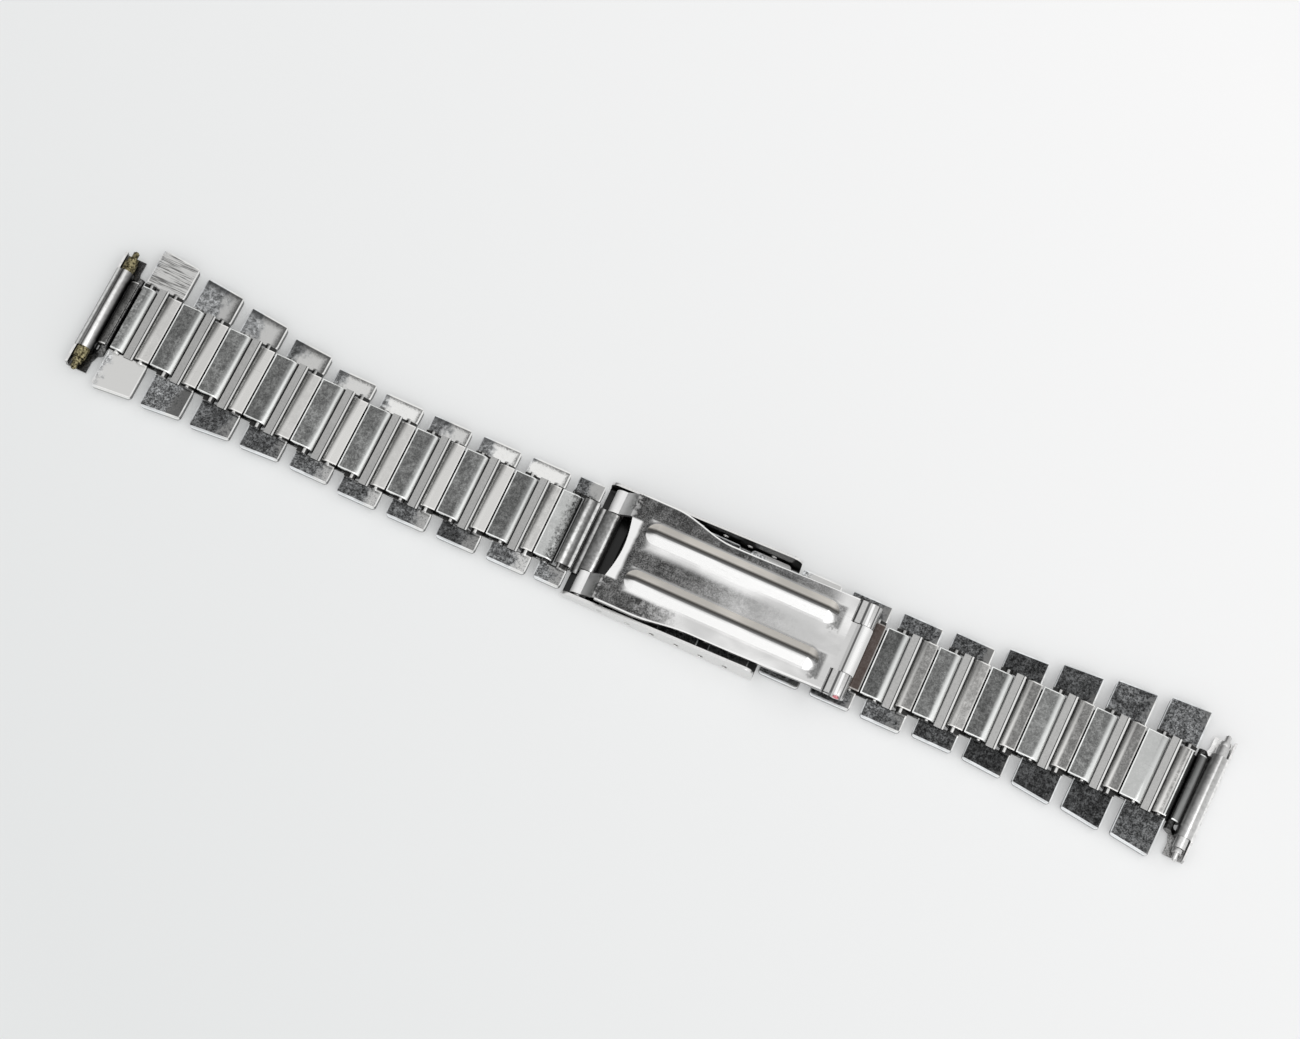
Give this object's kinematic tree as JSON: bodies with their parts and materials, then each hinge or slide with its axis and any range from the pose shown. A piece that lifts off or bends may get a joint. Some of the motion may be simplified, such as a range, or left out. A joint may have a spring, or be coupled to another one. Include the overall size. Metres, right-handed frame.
{
  "type": "watch bracelet",
  "caption": "Steel watch bracelet of flat plates joined by folded sheet clips, tapering towards a ribbed fold-over clasp, with a sprung bar at each end.",
  "frame": {"origin": "middle of the clasp cover's outer face", "axes": "+X along the closed clasp towards the strand on the adjusting bar, +Z towards the wrist"},
  "size_m": [0.1531, 0.0204, 0.0049],
  "materials": {
    "plate_steel": "dull brushed steel, worn",
    "clip_steel": "bright rolled steel strip",
    "cover_steel": "bright steel sheet",
    "blade_steel": "bright rolled steel sheet, fine scratches",
    "end_piece_steel": "bright steel sheet",
    "tarnished_bar": "tarnished and dirty",
    "bar_steel": "turned steel",
    "spring_steel": "spring wire",
    "pin_steel": "cut steel pin"
  },
  "bodies": {
    "clasp_cover": {"clasp_cover": "cover_steel", "cover_hinge_pin": "pin_steel", "adjust_bar_barrel": "pin_steel", "adjust_bar_spring": "spring_steel"},
    "middle_blade": {"middle_blade": "blade_steel"},
    "inner_blade": {"inner_blade": "blade_steel", "blade_pins": "pin_steel"},
    "adjust_bar_tip": {"adjust_bar_tip": "pin_steel"},
    "left_clip_01": {"left_clip_01": "clip_steel"},
    "left_link_01": {"left_link_01": "plate_steel"},
    "left_clip_02": {"left_clip_02": "clip_steel"},
    "left_link_02": {"left_link_02": "plate_steel"},
    "left_clip_03": {"left_clip_03": "clip_steel"},
    "left_link_03": {"left_link_03": "plate_steel"},
    "left_clip_04": {"left_clip_04": "clip_steel"},
    "left_link_04": {"left_link_04": "plate_steel"},
    "left_clip_05": {"left_clip_05": "clip_steel"},
    "left_link_05": {"left_link_05": "plate_steel"},
    "left_clip_06": {"left_clip_06": "clip_steel"},
    "left_link_06": {"left_link_06": "plate_steel"},
    "left_clip_07": {"left_clip_07": "clip_steel"},
    "left_link_07": {"left_link_07": "plate_steel"},
    "left_clip_08": {"left_clip_08": "clip_steel"},
    "left_link_08": {"left_link_08": "plate_steel"},
    "left_clip_09": {"left_clip_09": "clip_steel"},
    "left_link_09": {"left_link_09": "plate_steel"},
    "left_clip_10": {"left_clip_10": "clip_steel"},
    "left_link_10": {"left_link_10": "plate_steel"},
    "left_clip_11": {"left_clip_11": "clip_steel"},
    "left_end_piece": {"left_end_piece": "end_piece_steel"},
    "right_clip_01": {"right_clip_01": "clip_steel"},
    "right_link_01": {"right_link_01": "plate_steel"},
    "right_clip_02": {"right_clip_02": "clip_steel"},
    "right_link_02": {"right_link_02": "plate_steel"},
    "right_clip_03": {"right_clip_03": "clip_steel"},
    "right_link_03": {"right_link_03": "plate_steel"},
    "right_clip_04": {"right_clip_04": "clip_steel"},
    "right_link_04": {"right_link_04": "plate_steel"},
    "right_clip_05": {"right_clip_05": "clip_steel"},
    "right_link_05": {"right_link_05": "plate_steel"},
    "right_clip_06": {"right_clip_06": "clip_steel"},
    "right_link_06": {"right_link_06": "plate_steel"},
    "right_clip_07": {"right_clip_07": "clip_steel"},
    "right_link_07": {"right_link_07": "plate_steel"},
    "right_clip_08": {"right_clip_08": "clip_steel"},
    "right_link_08": {"right_link_08": "plate_steel"},
    "right_clip_09": {"right_clip_09": "clip_steel"},
    "right_link_09": {"right_link_09": "plate_steel"},
    "right_clip_10": {"right_clip_10": "clip_steel"},
    "right_link_10": {"right_link_10": "plate_steel"},
    "right_clip_11": {"right_clip_11": "clip_steel"},
    "right_end_piece": {"right_end_piece": "end_piece_steel"},
    "left_bar": {"left_bar_barrel": "tarnished_bar", "left_bar_spring": "spring_steel"},
    "left_bar_tip_a": {"left_bar_tip_a": "tarnished_bar"},
    "left_bar_tip_b": {"left_bar_tip_b": "tarnished_bar"},
    "right_bar": {"right_bar_barrel": "bar_steel", "right_bar_spring": "spring_steel"},
    "right_bar_tip_a": {"right_bar_tip_a": "bar_steel"},
    "right_bar_tip_b": {"right_bar_tip_b": "bar_steel"}
  },
  "joints": [
    {"name": "middle_blade_fold", "type": "hinge", "parent": "clasp_cover", "child": "middle_blade", "pos_m": [-0.00765, 0, 0.0017], "axis": [0, -1, 0], "range_deg": [0, 155]},
    {"name": "inner_blade_fold", "type": "hinge", "parent": "middle_blade", "child": "inner_blade", "pos_m": [0.02335, 0, 0.0036], "axis": [0, 1, 0], "range_deg": [0, 155]},
    {"name": "adjust_tip_slide", "type": "slide", "parent": "clasp_cover", "child": "adjust_bar_tip", "axis": [0, -1, 0], "range_m": [0, 0.0007], "stiffness_N_per_m": 200, "springref_m": -0.001},
    {"name": "left_clip_01_hinge", "type": "hinge", "parent": "inner_blade", "child": "left_clip_01", "pos_m": [-0.01095, 0, 0.0016], "axis": [0, 1, 0], "range_deg": [-2, 12]},
    {"name": "left_link_01_hinge", "type": "hinge", "parent": "left_clip_01", "child": "left_link_01", "pos_m": [-0.01435, -0.0001, 0.0016], "axis": [0, 1, 0], "range_deg": [-5, 12]},
    {"name": "left_clip_02_hinge", "type": "hinge", "parent": "left_link_01", "child": "left_clip_02", "pos_m": [-0.01645, -0.0002, 0.0016], "axis": [0, 1, 0], "range_deg": [-5, 12]},
    {"name": "left_link_02_hinge", "type": "hinge", "parent": "left_clip_02", "child": "left_link_02", "pos_m": [-0.01905, -0.0003, 0.0016], "axis": [0, 1, 0], "range_deg": [-5, 12]},
    {"name": "left_clip_03_hinge", "type": "hinge", "parent": "left_link_02", "child": "left_clip_03", "pos_m": [-0.02245, -0.0004, 0.0016], "axis": [0, 1, 0], "range_deg": [-5, 12]},
    {"name": "left_link_03_hinge", "type": "hinge", "parent": "left_clip_03", "child": "left_link_03", "pos_m": [-0.02585, -0.0004, 0.0016], "axis": [0, 1, 0], "range_deg": [-5, 12]},
    {"name": "left_clip_04_hinge", "type": "hinge", "parent": "left_link_03", "child": "left_clip_04", "pos_m": [-0.02925, -0.0004, 0.0016], "axis": [0.0004, 1, 0], "range_deg": [-5, 12]},
    {"name": "left_link_04_hinge", "type": "hinge", "parent": "left_clip_04", "child": "left_link_04", "pos_m": [-0.03265, -0.0005, 0.0016], "axis": [0.0013, 1, 0], "range_deg": [-5, 12]},
    {"name": "left_clip_05_hinge", "type": "hinge", "parent": "left_link_04", "child": "left_clip_05", "pos_m": [-0.03605, -0.00059, 0.0016], "axis": [0.0031, 1, 0], "range_deg": [-5, 12]},
    {"name": "left_link_05_hinge", "type": "hinge", "parent": "left_clip_05", "child": "left_link_05", "pos_m": [-0.03945, -0.00043, 0.0016], "axis": [0.0057, 1, 0], "range_deg": [-5, 12]},
    {"name": "left_clip_06_hinge", "type": "hinge", "parent": "left_link_05", "child": "left_clip_06", "pos_m": [-0.04285, -0.00025, 0.0016], "axis": [0.0083, 1, 0], "range_deg": [-5, 12]},
    {"name": "left_link_06_hinge", "type": "hinge", "parent": "left_clip_06", "child": "left_link_06", "pos_m": [-0.04625, 0.00002, 0.0016], "axis": [0.0109, 0.9999, 0], "range_deg": [-5, 12]},
    {"name": "left_clip_07_hinge", "type": "hinge", "parent": "left_link_06", "child": "left_clip_07", "pos_m": [-0.04965, 0.0003, 0.0016], "axis": [0.0131, 0.9999, 0], "range_deg": [-5, 12]},
    {"name": "left_link_07_hinge", "type": "hinge", "parent": "left_clip_07", "child": "left_link_07", "pos_m": [-0.05305, 0.00059, 0.0016], "axis": [0.0148, 0.9999, 0], "range_deg": [-5, 12]},
    {"name": "left_clip_08_hinge", "type": "hinge", "parent": "left_link_07", "child": "left_clip_08", "pos_m": [-0.05645, 0.00088, 0.0016], "axis": [0.0153, 0.9999, 0], "range_deg": [-5, 12]},
    {"name": "left_link_08_hinge", "type": "hinge", "parent": "left_clip_08", "child": "left_link_08", "pos_m": [-0.05985, 0.00117, 0.0016], "axis": [0.0144, 0.9999, 0], "range_deg": [-5, 12]},
    {"name": "left_clip_09_hinge", "type": "hinge", "parent": "left_link_08", "child": "left_clip_09", "pos_m": [-0.06325, 0.00146, 0.0016], "axis": [0.0135, 0.9999, 0], "range_deg": [-5, 12]},
    {"name": "left_link_09_hinge", "type": "hinge", "parent": "left_clip_09", "child": "left_link_09", "pos_m": [-0.06665, 0.0017, 0.0016], "axis": [0.0127, 0.9999, 0], "range_deg": [-5, 12]},
    {"name": "left_clip_10_hinge", "type": "hinge", "parent": "left_link_09", "child": "left_clip_10", "pos_m": [-0.07005, 0.00195, 0.0016], "axis": [0.0118, 0.9999, 0], "range_deg": [-5, 12]},
    {"name": "left_link_10_hinge", "type": "hinge", "parent": "left_clip_10", "child": "left_link_10", "pos_m": [-0.07345, 0.00218, 0.0016], "axis": [0.0109, 0.9999, 0], "range_deg": [-5, 12]},
    {"name": "left_clip_11_hinge", "type": "hinge", "parent": "left_link_10", "child": "left_clip_11", "pos_m": [-0.07685, 0.00198, 0.0016], "axis": [0.0105, 0.9999, 0], "range_deg": [-5, 12]},
    {"name": "left_end_piece_hinge", "type": "hinge", "parent": "left_clip_11", "child": "left_end_piece", "pos_m": [-0.0786, 0.00178, 0.0016], "axis": [0.0105, 0.9999, 0], "range_deg": [-5, 12]},
    {"name": "right_clip_01_hinge", "type": "hinge", "parent": "clasp_cover", "child": "right_clip_01", "pos_m": [-0.00385, 0, 0.0016], "axis": [0, -1, 0], "range_deg": [0, 0.54]},
    {"name": "right_link_01_hinge", "type": "hinge", "parent": "right_clip_01", "child": "right_link_01", "pos_m": [0.0007, 0, 0.0016], "axis": [0, -1, 0], "range_deg": [0, 0.66]},
    {"name": "right_clip_02_hinge", "type": "hinge", "parent": "right_link_01", "child": "right_clip_02", "pos_m": [0.0041, 0, 0.0016], "axis": [0, -1, 0], "range_deg": [0, 0.79]},
    {"name": "right_link_02_hinge", "type": "hinge", "parent": "right_clip_02", "child": "right_link_02", "pos_m": [0.0075, 0.00013, 0.0016], "axis": [0, -1, 0], "range_deg": [0, 0.97]},
    {"name": "right_clip_03_hinge", "type": "hinge", "parent": "right_link_02", "child": "right_clip_03", "pos_m": [0.0109, 0.00026, 0.0016], "axis": [0, -1, 0], "range_deg": [-2, 1.26]},
    {"name": "right_link_03_hinge", "type": "hinge", "parent": "right_clip_03", "child": "right_link_03", "pos_m": [0.0143, 0.00049, 0.0016], "axis": [0, -1, 0], "range_deg": [-5, 1.81]},
    {"name": "right_clip_04_hinge", "type": "hinge", "parent": "right_link_03", "child": "right_clip_04", "pos_m": [0.0177, 0.00072, 0.0016], "axis": [0, -1, 0], "range_deg": [-5, 3.17]},
    {"name": "right_link_04_hinge", "type": "hinge", "parent": "right_clip_04", "child": "right_link_04", "pos_m": [0.0211, 0.00056, 0.0016], "axis": [0, -1, 0], "range_deg": [-5, 4.5]},
    {"name": "right_clip_05_hinge", "type": "hinge", "parent": "right_link_04", "child": "right_clip_05", "pos_m": [0.0245, 0.0004, 0.0016], "axis": [-0.0009, -1, 0], "range_deg": [-5, 12]},
    {"name": "right_link_05_hinge", "type": "hinge", "parent": "right_clip_05", "child": "right_link_05", "pos_m": [0.0279, 0.00059, 0.0016], "axis": [-0.0026, -1, 0], "range_deg": [-5, 12]},
    {"name": "right_clip_06_hinge", "type": "hinge", "parent": "right_link_05", "child": "right_clip_06", "pos_m": [0.0313, 0.00078, 0.0016], "axis": [-0.0048, -1, 0], "range_deg": [-5, 12]},
    {"name": "right_link_06_hinge", "type": "hinge", "parent": "right_clip_06", "child": "right_link_06", "pos_m": [0.0347, 0.001, 0.0016], "axis": [-0.0074, -1, 0], "range_deg": [-5, 12]},
    {"name": "right_clip_07_hinge", "type": "hinge", "parent": "right_link_06", "child": "right_clip_07", "pos_m": [0.0381, 0.00121, 0.0016], "axis": [-0.0109, -0.9999, 0], "range_deg": [-5, 12]},
    {"name": "right_link_07_hinge", "type": "hinge", "parent": "right_clip_07", "child": "right_link_07", "pos_m": [0.0415, 0.00141, 0.0016], "axis": [-0.0153, -0.9999, 0], "range_deg": [-5, 12]},
    {"name": "right_clip_08_hinge", "type": "hinge", "parent": "right_link_07", "child": "right_clip_08", "pos_m": [0.0449, 0.00159, 0.0016], "axis": [-0.0201, -0.9998, 0], "range_deg": [-5, 12]},
    {"name": "right_link_08_hinge", "type": "hinge", "parent": "right_clip_08", "child": "right_link_08", "pos_m": [0.0483, 0.00175, 0.0016], "axis": [-0.0253, -0.9997, 0], "range_deg": [-5, 12]},
    {"name": "right_clip_09_hinge", "type": "hinge", "parent": "right_link_08", "child": "right_clip_09", "pos_m": [0.0517, 0.0019, 0.0016], "axis": [-0.0305, -0.9995, 0], "range_deg": [-5, 12]},
    {"name": "right_link_09_hinge", "type": "hinge", "parent": "right_clip_09", "child": "right_link_09", "pos_m": [0.05509, 0.00202, 0.0016], "axis": [-0.0358, -0.9994, 0], "range_deg": [-5, 12]},
    {"name": "right_clip_10_hinge", "type": "hinge", "parent": "right_link_09", "child": "right_clip_10", "pos_m": [0.05849, 0.00213, 0.0016], "axis": [-0.0406, -0.9992, 0], "range_deg": [-5, 12]},
    {"name": "right_link_10_hinge", "type": "hinge", "parent": "right_clip_10", "child": "right_link_10", "pos_m": [0.06189, 0.00219, 0.0016], "axis": [-0.0449, -0.999, 0], "range_deg": [-5, 12]},
    {"name": "right_clip_11_hinge", "type": "hinge", "parent": "right_link_10", "child": "right_clip_11", "pos_m": [0.06529, 0.00179, 0.0016], "axis": [-0.0471, -0.9989, 0], "range_deg": [-5, 12]},
    {"name": "right_end_piece_hinge", "type": "hinge", "parent": "right_clip_11", "child": "right_end_piece", "pos_m": [0.06703, 0.00148, 0.0016], "axis": [-0.0471, -0.9989, 0], "range_deg": [-5, 12]},
    {"name": "left_bar_turn", "type": "hinge", "parent": "left_end_piece", "child": "left_bar", "pos_m": [-0.0808, 0.0018, 0.0016], "axis": [-0.0105, -0.9999, 0], "continuous": true},
    {"name": "left_bar_tip_a_slide", "type": "slide", "parent": "left_bar", "child": "left_bar_tip_a", "axis": [-0.0105, -0.9999, 0], "range_m": [0, 0.00115], "stiffness_N_per_m": 200, "springref_m": 0.0022},
    {"name": "left_bar_tip_b_slide", "type": "slide", "parent": "left_bar", "child": "left_bar_tip_b", "axis": [0.0105, 0.9999, 0], "range_m": [0, 0.00115], "stiffness_N_per_m": 200, "springref_m": 0.0022},
    {"name": "right_bar_turn", "type": "hinge", "parent": "right_end_piece", "child": "right_bar", "pos_m": [0.06923, 0.00138, 0.0016], "axis": [0.0471, 0.9989, 0], "continuous": true},
    {"name": "right_bar_tip_a_slide", "type": "slide", "parent": "right_bar", "child": "right_bar_tip_a", "axis": [0.0471, 0.9989, 0], "range_m": [0, 0.00115], "stiffness_N_per_m": 200, "springref_m": 0.0022},
    {"name": "right_bar_tip_b_slide", "type": "slide", "parent": "right_bar", "child": "right_bar_tip_b", "axis": [-0.0471, -0.9989, 0], "range_m": [0, 0.00115], "stiffness_N_per_m": 200, "springref_m": 0.0022}
  ],
  "couplings": [
    {"joint": "inner_blade_fold", "follows": "middle_blade_fold", "ratio": 1}
  ]
}
